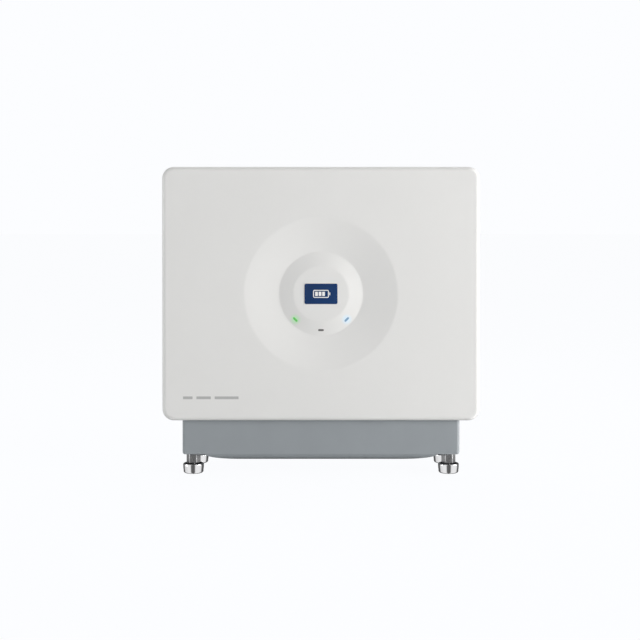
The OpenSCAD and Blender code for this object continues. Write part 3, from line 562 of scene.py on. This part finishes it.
def hub_section():
    """The hub from the valley inwards, as (radius, y), and the index where the cap begins."""
    foot = bend(VALLEY_R, VALLEY_START_R, DISH_FLOOR_Y - VALLEY_LIFT, -1, -1, HUB_SLOPE, 8)
    brow = bend(BROW_R, HUB_TOP_R - BROW_R * math.tan(HUB_SLOPE / 2), HUB_Y, 1, 1, HUB_SLOPE, 12)[::-1]
    points = foot + line(foot[-1], brow[0], 6) + brow
    return points, min(range(len(points)), key=lambda i: abs(points[i][0] - HUB_TOP_R))


def make_cover(material):
    """The cover's skin, one closed sheet: dish, face, rounded edge and wall, and back along its inside."""
    break_width = 0.0002
    breaks = (-NOTCH_HALF, -NOTCH_HALF + break_width, NOTCH_HALF - break_width, NOTCH_HALF)
    spine = outline_spine(COVER_W / 2, COVER_H / 2, CORNER_R, breaks)
    reach = CORNER_R - EDGE_R
    headings = [math.atan2(z + nz * reach, x + nx * reach) for x, z, nx, nz in spine]
    straight_y, back_y, inner_y = FACE_Y + EDGE_R, FACE_Y + COVER_D, FACE_Y + WALL

    def round_row(radius, y):
        return [(radius * math.cos(a), y, COVER_MID + radius * math.sin(a)) for a in headings]

    def shortened(y):
        """A wall point's depth where the bottom wall stops short of the base."""
        if y <= straight_y:
            return y
        return straight_y + (y - straight_y) * (NOTCH_Y - straight_y) / (back_y - straight_y)

    def border(inset, y):
        r = CORNER_R - inset
        return [(x + nx * r, shortened(y) if nz < -0.999 and abs(x) < NOTCH_HALF - break_width / 2 else y,
                 COVER_MID + z + nz * r) for x, z, nx, nz in spine]

    def between(one, two, t):
        return [tuple(a + (b - a) * t for a, b in zip(p, q)) for p, q in zip(one, two)]

    dish, edge_r = dish_section()
    flat_in, flat_out = round_row(edge_r + 0.003, FACE_Y), border(EDGE_R + 0.002, FACE_Y)
    rows = [round_row(VALLEY_START_R, DISH_FLOOR_Y + WALL)]
    rows += [round_row(r, y) for r, y in dish]
    rows += [between(flat_in, flat_out, t) for t in (0.0, 0.25, 0.5, 0.75, 1.0)]
    rows += [border(i, y) for i, y in fillet(0.0, math.pi / 2, straight_y, EDGE_R, 10)]
    rows += [border(0.0, straight_y + (COVER_D - EDGE_R - 0.001) * t) for t in (0.34, 0.67, 1.0)]
    rows += [border(i, back_y - y) for i, y in (
        (0.0003, 0.0003), (0.001, 0.0), (WALL - 0.001, 0.0), (WALL - 0.0003, 0.0003), (WALL, 0.001))]
    rows += [border(WALL + i, y) for i, y in fillet(math.pi / 2, 0.0, straight_y, EDGE_R - WALL, 6)]
    rows += [round_row(edge_r + 0.004, inner_y), round_row(DISH_R, inner_y)]
    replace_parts(stack("cover_skin", rows, material, "cover", "cover_white", None, closed=True), "front_cover")


def make_cover_inside(material):
    """Snap posts and stiffening ribs on the cover's inner face."""
    inner_y = FACE_Y + WALL
    # A post from its foot over its rounded end and back down its bore, as (radius, y).
    profile = [(0.0078, inner_y), (0.0066, inner_y + 0.0006), (0.006, inner_y + 0.0016), (0.006, -0.0787),
               (0.0056, -0.0783), (0.0034, -0.0783), (0.0031, -0.0786), (0.0031, inner_y + 0.003)]
    posts = [join_rings([circle("Y", snap, y, r, 32) for r, y in profile], closed=True) for snap in SNAPS]
    new_piece("cover_posts", *merge(posts), material, "cover", "cover_white", 40)
    # Half of a rib's section, as (half thickness, height over the inner face).
    half = [(0.0022, 0.0), (0.0011, 0.001), (0.0009, 0.0056), (0.0006, 0.006)]
    section = [(-z, y) for z, y in half] + half[::-1]
    ribs = [join_rings([[(side * x, inner_y + y, COVER_MID + rise + z) for z, y in section]
                        for x in (RIB_START, RIB_END)])
            for side in (-1, 1) for rise in RIB_RISES]
    new_piece("cover_ribs", *merge(ribs), material, "cover", "cover_white", 0)


# ---------- the hub ----------


def turned_piece(name, profile, material, closed):
    """A profile of (radius, y) turned around the hub's axis."""
    rings = [circle("Y", (0.0, COVER_MID), y, r, 192) for r, y in profile]
    return stack(name, rings, material, "cover", "cover_white", closed=closed)


def make_hub(material):
    """The hub's sloping rim and its cap, which meet without a visible seam."""
    front, seam = hub_section()
    cap_back, skin_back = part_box("hub_cap")[1].y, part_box("hub_ring")[1].y
    foot_y = DISH_FLOOR_Y + WALL
    flange_y = min(foot_y + 0.002, skin_back)
    rim = front[:seam + 1] + [
        (HUB_TOP_R, cap_back), (HUB_TOP_R - 0.005, cap_back), (HUB_TOP_R - 0.005, cap_back + 0.0025),
        (HUB_TOP_R - 0.001, cap_back + 0.0025), (HUB_R - 0.007, flange_y),
        (HUB_R + 0.005, flange_y), (HUB_R + 0.005, foot_y), (VALLEY_START_R, foot_y)]
    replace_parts(turned_piece("hub_rim", rim, material, closed=True), "hub_ring")
    slack = 2 * HAIR
    cap = [(front[seam][0] - slack, cap_back)] + [(r - slack, y) for r, y in front[seam:]]
    cap += [(0.030, HUB_Y), (0.012, HUB_Y)]
    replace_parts(turned_piece("hub_disc", cap, material, closed=False), "hub_cap")


def light_ring(angle, inset, depth_at):
    """A light guide's outline on the hub, inset all round; depth_at gives a point's y from its radius."""
    points = []
    half_long, half_wide = LIGHT_HALF_LONG - inset, LIGHT_HALF_WIDE - inset
    for along, out in round_rect(half_long, half_wide, half_wide - SPECK, 10):
        r = math.hypot(LIGHT_R + out, along)
        turn = math.radians(angle) + math.atan2(along, LIGHT_R + out)
        points.append((r * math.cos(turn), depth_at(r), COVER_MID + r * math.sin(turn)))
    return points


def make_light_guides(materials):
    """Three frosted guides whose faces follow the hub's slope and stand a hair proud of it."""
    # The rounded face, as (inset, depth under its crown), after the guide's side.
    face = ((0.0, 0.0006), (0.0, 0.00010), (0.00010, 0.00003), (0.00030, 0.0), (0.00100, 0.0))
    for name, angle, look in LIGHTS:
        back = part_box(f"light_guide_{name}")[1].y
        rings = [light_ring(angle, 0.0, lambda r: back)]
        rings += [light_ring(angle, inset, lambda r: slope_y(r) - LIGHT_PROUD + under)
                  for inset, under in face]
        lens = stack(f"light_lens_{name}", rings, materials[look], "cover", look, 40)
        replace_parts(lens, f"light_guide_{name}")


def flat_print(outline, back, front):
    """A flat printed shape from an outline of (x, z)."""
    return join_rings([[(x, y, z) for x, z in outline] for y in (back, front)])


def make_emblem(navy, white):
    """A plain plaque with a battery pictogram: an outlined cell, its terminal and three charge bars."""
    low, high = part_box("emblem_plate")
    centre, front = ((low.x + high.x) / 2, (low.z + high.z) / 2), low.y
    half_w, half_h, back = (high.x - low.x) / 2, (high.z - low.z) / 2, front + EMBLEM_PROUD
    rings = []
    for inset, y in ((0.0, high.y), (0.0, back + 0.0004), (0.00012, back + 0.00012), (0.0004, back)):
        outline = round_rect(half_w - inset, half_h - inset, EMBLEM_CORNER_R - inset, 8, centre)
        rings.append([(x, y, z) for x, z in outline])
    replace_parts(stack("emblem_plaque", rings, navy, "cover", "emblem_navy", 50), "emblem_plate")

    cell = round_rect(CELL_W / 2, CELL_H / 2, 0.0026, centre=centre)
    hollow = round_rect(CELL_W / 2 - CELL_LINE, CELL_H / 2 - CELL_LINE, 0.0012, centre=centre)
    rings = [[(x, y, z) for x, z in outline]
             for outline, y in ((cell, back), (cell, front), (hollow, front), (hollow, back))]
    stack("emblem_outline", rings, white, "cover", "cover_white", 0, closed=True)
    shapes = [round_rect(0.0026, 0.0040, 0.0008, centre=(x, centre[1])) for x in (-0.0085, -0.0018, 0.0049)]
    shapes.append(round_rect(0.0009, 0.0028, 0.0007, centre=(CELL_W / 2 + 0.0017, centre[1])))
    bars = merge(flat_print(shape, back, front) for shape in shapes)
    new_piece("emblem_bars", *bars, white, "cover", "cover_white", 0)


# ---------- the levelling feet ----------


def hexagon(inset):
    """Radius of a round-cornered hexagon with a flat towards -Y, as a function of the angle."""
    def radius(a):
        off = (a - math.pi / 6) % (math.pi / 3)
        off = min(off, math.pi / 3 - off)
        return min((COLLAR_FLATS - inset) / math.cos(off), COLLAR_CORNERS - inset)
    return radius


def thread(z):
    """Radius of the foot's screw thread at height z, as a function of the angle."""
    def radius(a):
        turn = (z / THREAD_PITCH - a / (2 * math.pi)) % 1.0
        return THREAD_R - THREAD_DEPTH * abs(2 * turn - 1)
    return radius


def foot_disc_profile(r, top):
    """A foot's disc from its bore over its dished top and its rim to its sole, as (radius, height)."""
    rim_round, sole_round = 0.0020, 0.0036
    quarter = [math.pi / 2 * k / 8 for k in range(1, 9)]
    profile = [(0.0053, top - 0.008), (0.0053, top - 0.0018), (0.0060, top - 0.0012), (0.0150, top - 0.0012),
               (0.0160, top - 0.0009), (FOOT_DARK_R, top - 0.0003), (0.0172, top)]
    profile += [(r - rim_round * (1 - math.sin(a)), top - rim_round * (1 - math.cos(a))) for a in quarter]
    profile += [(r - 0.0002, top * 0.55), (r - 0.0008, top * 0.30)]
    profile += [(r - 0.0008 - sole_round * (1 - math.cos(a)), sole_round * (1 - math.sin(a)))
                for a in quarter]
    return profile + [(r - 0.0056, 0.0002), (r - 0.0062, 0.0008), (0.004, 0.0008)]


def make_foot_disc(tag, materials):
    """A foot's polished disc with its dished top painted dark as painted shade and dark reflection; returns its
    axis and the height of its top.
    """
    low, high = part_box(f"foot_pad_{tag}")
    centre, top = ((low.x + high.x) / 2, (low.y + high.y) / 2), high.z
    rings = [circle("Z", centre, z, r, 96) for r, z in foot_disc_profile((high.x - low.x) / 2, top)]
    disc = stack(f"foot_disc_{tag}", rings, materials["foot_chrome"], f"pad_{tag}", "foot_chrome", 40)
    disc.data.materials.append(materials["foot_painted_shade"])
    # Faces on the disc's dished top take the painted shade and dark reflection.
    for face in disc.data.polygons:
        rim = math.hypot(face.center.x - centre[0], face.center.y - centre[1])
        if face.center.z > top - 0.009 and rim < FOOT_DARK_R:
            face.material_index = 1
    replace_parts(disc, f"foot_pad_{tag}")
    return centre, top


def make_foot_screw(tag, centre, disc_top, material):
    """A foot's hexagonal collar and its threaded stud, from the pivot in the disc to the stud's end."""
    low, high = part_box(f"foot_stud_{tag}")
    start, thread_start = disc_top + 0.0003, COLLAR_TOP + 0.0004
    sections = [(0.0047, low.z), (0.0050, low.z + 0.0003), (0.0050, start), (0.0110, start + HAIR)]
    sections += [(hexagon(inset), z) for inset, z in (
        (0.0009, start + 0.0002), (0.0002, start + 0.0009), (0.0, start + 0.0014),
        (0.0, COLLAR_TOP - 0.0014), (0.0002, COLLAR_TOP - 0.0009), (0.0009, COLLAR_TOP - 0.0002))]
    sections += [(0.0090, COLLAR_TOP), (0.0051, COLLAR_TOP + HAIR)]
    quarter_turn = THREAD_PITCH / 4
    steps = int((high.z - 0.0012 - COLLAR_TOP) / quarter_turn)
    heights = [thread_start + k * quarter_turn for k in range(steps)]
    sections += [(thread(z), z) for z in heights] + [(0.0046, high.z)]
    rings = [circle("Z", centre, z, radius, 96) for radius, z in sections]
    screw = stack(f"foot_screw_{tag}", rings, material, f"stud_{tag}", "foot_chrome", 25)
    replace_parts(screw, f"foot_stud_{tag}")


# ---------- the battery switch ----------


def make_knob(red, white):
    """The switch's knob: a finger-notched disc, a tapered grip across it and an inlaid white line."""
    low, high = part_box("isolator_knob")
    centre, crest = ((low.y + high.y) / 2, (low.z + high.z) / 2), high.x
    back, rim = crest - KNOB_HEIGHT, (high.z - low.z) / 2

    def notched(inset):
        return lambda a: rim - inset - 0.0004 * (1 + math.cos(30 * a))

    def plate(x, outline):
        return [(x, centre[0] + y, centre[1] + z) for y, z in outline]

    sections = [(low.x, KNOB_SHAFT_R - 0.0004), (low.x + 0.0004, KNOB_SHAFT_R), (back, KNOB_SHAFT_R),
                (back + HAIR, rim - 0.0012)]
    sections += [(back + x, notched(inset)) for x, inset in (
        (0.0002, 0.0008), (0.0006, 0.0002), (0.0010, 0.0), (0.0046, 0.0), (0.0052, 0.0002), (0.0057, 0.0007))]
    sections += [(back + x, rim - inset) for x, inset in (
        (0.0060, 0.0016), (0.0060, 0.0024), (0.0057, 0.0030), (0.0053, 0.0036), (0.0052, 0.0045),
        (0.0052, 0.0190))]
    rings = [circle("X", centre, x, radius, 240) for x, radius in sections]
    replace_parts(stack("knob_disc", rings, red, "switch_knob", "knob_red", 35), "isolator_knob")

    rings = [plate(back + x, round_rect(GRIP_HALF_W - inset, GRIP_HALF_L - inset, GRIP_CORNER_R, 8))
             for x, inset in ((0.0050, 0.0), (0.0062, 0.0), (0.0120, 0.0004), (0.0172, 0.0008),
                              (0.0180, 0.0010), (0.0186, 0.0014), (KNOB_HEIGHT, 0.0021))]
    stack("knob_grip", rings, red, "switch_knob", "knob_red", 40)

    outline = round_rect(0.0008, 0.0060, 0.0007, centre=(0.0, 0.0090))
    rings = [plate(x, outline) for x in (crest - 0.0008, crest + 0.00012)]
    stack("knob_mark", rings, white, "switch_knob", "knob_red", 40)


# ---------- stage ----------

BACKDROP = (0.973, 0.982, 1.0)
# Half the floor's side, how bright it looks, and how much of the light on it shows over that.
FLOOR_HALF, FLOOR_GLOW, FLOOR_SHADING = 30.0, 0.976, 0.04
# The room's light at the horizon, the part of it left overhead, and the height from where it stays that dim.
ROOM_LIGHT, ZENITH, DIM_HEIGHT = 1.28, 0.12, 0.7
# What shiny metal reflects around the horizon: 0 is -X, 0.25 the camera's side, 0.5 +X, 0.75 behind.
REFLECTED = ((0.0, 0.85), (0.10, 1.0), (0.165, 0.95), (0.195, 0.14), (0.295, 0.12), (0.330, 0.95),
             (0.42, 1.0), (0.52, 0.95), (0.57, 0.15), (0.72, 0.06), (0.80, 0.06), (0.92, 0.15), (0.965, 0.85))


def make_floor():
    """A pale floor, which seen directly is the evenly lit backdrop and in mirrors gives way to the room."""
    corners = [(x * FLOOR_HALF, y * FLOOR_HALF, 0) for x, y in ((-1, -1), (1, -1), (1, 1), (-1, 1))]
    mesh = bpy.data.meshes.new("floor")
    mesh.from_pydata(corners, [], [(0, 1, 2, 3)])
    floor = bpy.data.objects.new("floor", mesh)
    bpy.context.scene.collection.objects.link(floor)
    s = Shader("floor_pale")
    tone = s.blend(s.spread(s.noise(3.0), 0.0, 1.0), (0.78, 0.785, 0.79), (0.80, 0.805, 0.81))
    s.link(tone, s.surface.inputs["Base Color"])
    s.set(specular=0.0, roughness=0.9)
    glow = s.nodes.new("ShaderNodeEmission")
    glow.inputs["Color"].default_value = (*BACKDROP, 1)
    glow.inputs["Strength"].default_value = FLOOR_GLOW
    matt = s.nodes.new("ShaderNodeBsdfDiffuse")
    matt.inputs["Color"].default_value = (*[FLOOR_SHADING] * 3, 1)
    seen = s.nodes.new("ShaderNodeAddShader")
    s.link(glow.outputs[0], seen.inputs[0])
    s.link(matt.outputs[0], seen.inputs[1])
    path = s.nodes.new("ShaderNodeLightPath")
    mix = s.nodes.new("ShaderNodeMixShader")
    s.link(path.outputs["Is Camera Ray"], mix.inputs[0])
    s.link(s.surface.outputs[0], mix.inputs[1])
    s.link(seen.outputs[0], mix.inputs[2])
    clear = s.nodes.new("ShaderNodeMixShader")
    s.link(path.outputs["Is Glossy Ray"], clear.inputs[0])
    s.link(mix.outputs[0], clear.inputs[1])
    s.link(s.nodes.new("ShaderNodeBsdfTransparent").outputs[0], clear.inputs[2])
    s.link(clear.outputs[0], s.nodes["Material Output"].inputs["Surface"])
    mesh.materials.append(s.material)


def make_world():
    """White behind the object, soft and even for diffuse light, and banded for reflections."""
    world = bpy.data.worlds.new("studio")
    bpy.context.scene.world = world
    world.use_nodes = True
    nodes, links = world.node_tree.nodes, world.node_tree.links

    def background(colour, strength):
        node = nodes.new("ShaderNodeBackground")
        node.inputs["Color"].default_value = (*colour, 1)
        node.inputs["Strength"].default_value = strength
        return node

    room, white = background((0.97, 0.985, 1.0), ROOM_LIGHT), background(BACKDROP, 1.0)
    height, dimming = nodes.new("ShaderNodeSeparateXYZ"), nodes.new("ShaderNodeMapRange")
    dimming.inputs["From Max"].default_value = DIM_HEIGHT
    dimming.inputs["To Min"].default_value = ROOM_LIGHT
    dimming.inputs["To Max"].default_value = ROOM_LIGHT * ZENITH
    links.new(height.outputs["Z"], dimming.inputs["Value"])
    links.new(dimming.outputs["Result"], room.inputs["Strength"])
    bands = background((1, 1, 1), 1.0)
    heading = nodes.new("ShaderNodeTexGradient")
    heading.gradient_type = "RADIAL"
    coords = nodes.new("ShaderNodeTexCoord")
    links.new(coords.outputs["Generated"], heading.inputs["Vector"])
    links.new(coords.outputs["Generated"], height.inputs[0])
    ramp = nodes.new("ShaderNodeValToRGB")
    stops = ramp.color_ramp.elements
    while len(stops) > 1:
        stops.remove(stops[0])
    stops[0].position, stops[0].color = REFLECTED[0][0], (*[REFLECTED[0][1]] * 3, 1)
    for place, tone in REFLECTED[1:]:
        stops.new(place).color = (tone, tone, tone, 1)
    links.new(heading.outputs["Fac"], ramp.inputs["Fac"])
    links.new(ramp.outputs["Color"], bands.inputs["Color"])
    path = nodes.new("ShaderNodeLightPath")
    gloss, seen = nodes.new("ShaderNodeMixShader"), nodes.new("ShaderNodeMixShader")
    links.new(path.outputs["Is Glossy Ray"], gloss.inputs[0])
    links.new(room.outputs[0], gloss.inputs[1])
    links.new(bands.outputs[0], gloss.inputs[2])
    links.new(path.outputs["Is Camera Ray"], seen.inputs[0])
    links.new(gloss.outputs[0], seen.inputs[1])
    links.new(white.outputs[0], seen.inputs[2])
    links.new(seen.outputs[0], nodes["World Output"].inputs["Surface"])


def add_softbox(name, at, aim, size, power, colour):
    light = bpy.data.lights.new(name, "AREA")
    light.shape = "RECTANGLE"
    light.size, light.size_y = size
    light.energy = power
    light.color = colour
    lamp = bpy.data.objects.new(name, light)
    lamp.location = at
    lamp.rotation_euler = (Vector(aim) - Vector(at)).to_track_quat("-Z", "Y").to_euler()
    bpy.context.scene.collection.objects.link(lamp)


# Name, place, what it is aimed at, size, power and colour.
SOFTBOXES = (
    ("key_right", (4.0, -1.52, 0.56), (0.0, -0.09, 0.35), (2.7, 1.05), 205.0, (1.0, 0.995, 0.985)),
    ("fill_left", (-3.0, -0.7, 0.35), (0.0, -0.05, 0.35), (1.0, 1.6), 29.0, (1.0, 1.0, 1.0)),
    ("top_back", (0.0, 0.9, 2.3), (0.0, 0.0, 0.35), (2.0, 1.0), 15.0, (1.0, 1.0, 1.0)),
)


# The camera stands level with the upper part of the cabinet and looks slightly down.
CAMERA_DISTANCE, CAMERA_HEIGHT, CAMERA_TILT = 2.456, 0.500, 0.5
# The picture's width in pixels, the sensor's in millimetres, and the pixels to a metre on the cover's face.
PICTURE, SENSOR, FACE_SCALE = 640.0, 36.0, 525.5
FOCAL_PX = FACE_SCALE * CAMERA_DISTANCE
# Where the picture shows the middle of the hub.
HUB_COLUMN, HUB_ROW = 321.0, 294.0
HORIZON_ROW = HUB_ROW - (CAMERA_HEIGHT - COVER_MID) * FACE_SCALE


def make_camera():
    data = bpy.data.cameras.new("camera")
    camera = bpy.data.objects.new("camera", data)
    bpy.context.scene.collection.objects.link(camera)
    camera.location = (0.0, FACE_Y - CAMERA_DISTANCE, CAMERA_HEIGHT)
    camera.rotation_euler = (math.radians(90 - CAMERA_TILT), 0, 0)
    data.sensor_width = SENSOR
    data.lens = FOCAL_PX * SENSOR / PICTURE
    tilt_px = FOCAL_PX * math.tan(math.radians(CAMERA_TILT))
    data.shift_y = (HORIZON_ROW + tilt_px - PICTURE / 2) / PICTURE
    data.shift_x = (PICTURE / 2 - HUB_COLUMN) / PICTURE
    data.clip_end = 100.0
    bpy.context.scene.camera = camera


# ---------- everything ----------

SKIP_SOFTEN = {"front_cover", "wall_brackets"}
SPECIAL_LOOKS = {"hub_ring": "hub_white", "hub_cap": "hub_white", "base_skirt": "skirt_paint",
                 "button_bezel": "bezel_steel"}
# How far each CAD node's edges are rounded; every other node takes the ordinary width.
EDGE_WIDTH = 0.0003
EDGE_WIDTHS = {"carry_handles": 0.0014, "isolator_body": 0.0008, "isolator_knob": 0.0007,
               "com_sockets": 0.0006, "dc_connector_positive": 0.0005, "dc_connector_negative": 0.0005,
               "pressure_vent": 0.0006, "start_button": 0.0005, "housing_shell": 0.0005,
               "housing_lid": 0.0005}


def main():
    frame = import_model()
    materials = make_materials()
    slots = {s["node"]: s["material_slot"] for s in frame["record"]["subparts"]}
    for name, node in frame["nodes"].items():
        node.data.materials.clear()
        node.data.materials.append(materials[SPECIAL_LOOKS.get(name, slots[name])])
    make_cover(materials["cover_white"])
    make_cover_inside(materials["cover_white"])
    make_hub(materials["hub_white"])
    make_light_guides(materials)
    for tag in FEET:
        centre, disc_top = make_foot_disc(tag, materials)
        make_foot_screw(tag, centre, disc_top, materials["foot_satin"])
    make_emblem(materials["emblem_navy"], materials["emblem_white"])
    make_knob(materials["knob_red"], materials["emblem_white"])
    for name, node in frame["nodes"].items():
        if name not in SKIP_SOFTEN:
            soften(node, EDGE_WIDTHS.get(name, EDGE_WIDTH))
    make_floor()
    make_world()
    for softbox in SOFTBOXES:
        add_softbox(*softbox)
    make_camera()
    view = bpy.context.scene.view_settings
    view.view_transform = "Standard"
    view.look = "None"


main()
